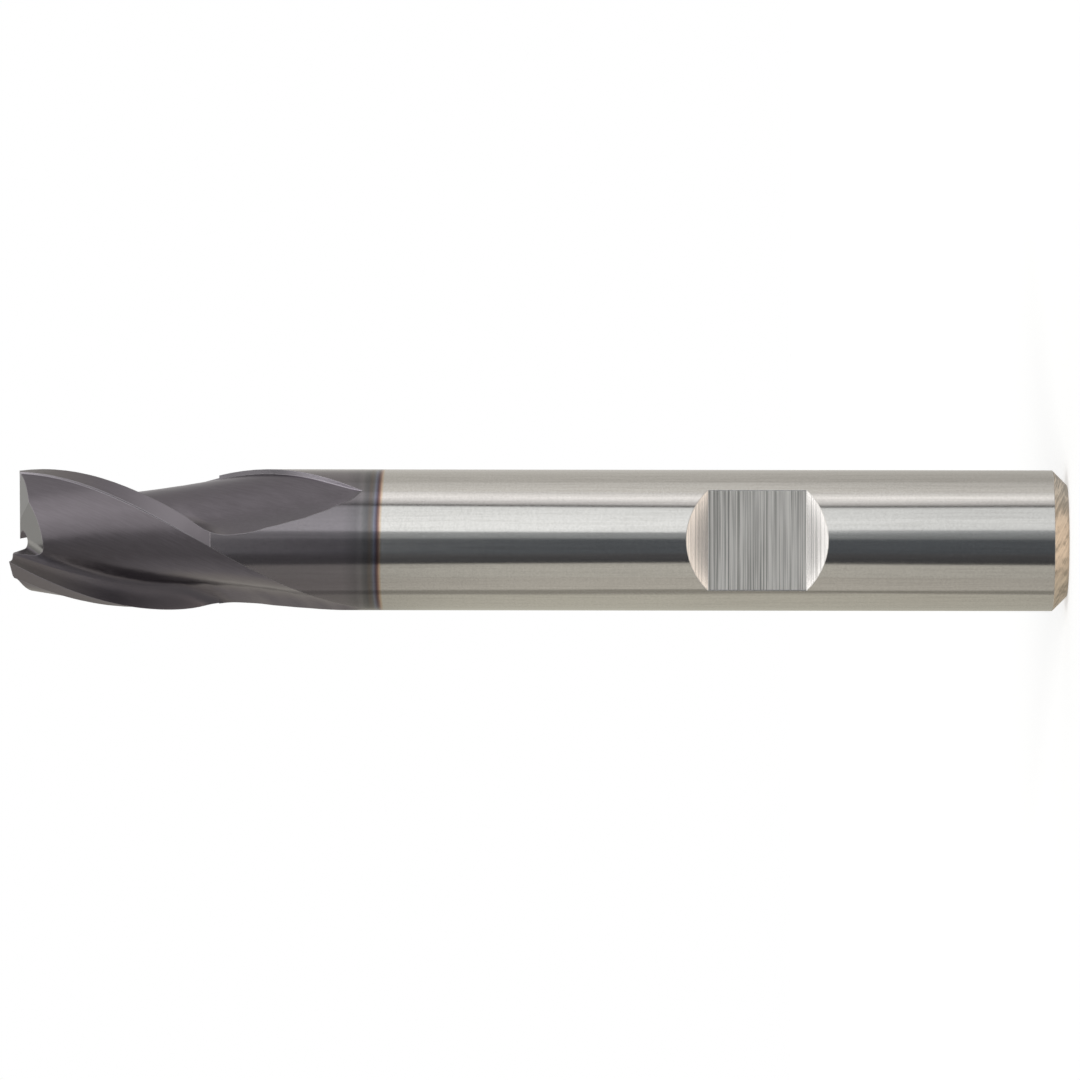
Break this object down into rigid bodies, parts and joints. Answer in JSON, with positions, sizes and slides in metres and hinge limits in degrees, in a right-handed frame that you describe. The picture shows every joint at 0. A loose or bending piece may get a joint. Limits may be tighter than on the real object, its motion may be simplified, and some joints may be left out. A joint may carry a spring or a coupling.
{
  "type": "end mill",
  "caption": "Solid carbide end mill with helical flutes, centre-cutting end teeth, a dark coated cutting end and a plain shank with a clamping flat",
  "frame": {"origin": "centre of the flat end face of the shank, on which the tool stands", "axes": "+Z along the tool axis from the shank end to the cutting tip; the clamping flat faces -Y"},
  "size_m": [0.008, 0.008, 0.0596],
  "materials": {
    "ground_carbide": "fine ground, with a thin dark violet-grey coating on the cutting end"
  },
  "bodies": {
    "root": {"end_mill": "ground_carbide"}
  },
  "joints": []
}
